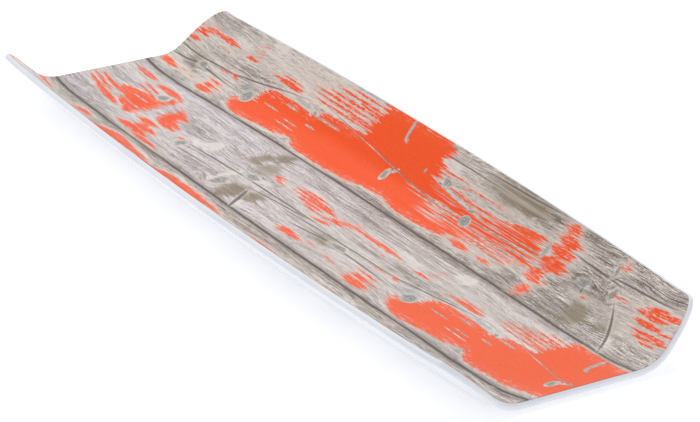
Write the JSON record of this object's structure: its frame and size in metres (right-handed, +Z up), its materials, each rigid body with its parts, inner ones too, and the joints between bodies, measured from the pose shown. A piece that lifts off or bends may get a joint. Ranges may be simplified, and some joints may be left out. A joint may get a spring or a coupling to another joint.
{
  "type": "serving tray",
  "caption": "Long shallow one-piece moulded tray with curled-up side walls, open lifted ends and a weathered painted-plank print on its inside face.",
  "frame": {"origin": "middle of the flat underside, where the tray stands", "axes": "+X along the tray, +Y across it, +Z up out of the open side"},
  "size_m": [0.53, 0.175, 0.0341],
  "materials": {
    "white_melamine": "smooth white melamine, glossy",
    "plank_print": "printed foil: grey weathered planks with flaking orange paint",
    "glaze": "clear glossy glaze"
  },
  "bodies": {
    "root": {"moulded_body": "white_melamine", "printed_foil": "plank_print", "clear_glaze": "glaze"}
  },
  "joints": []
}
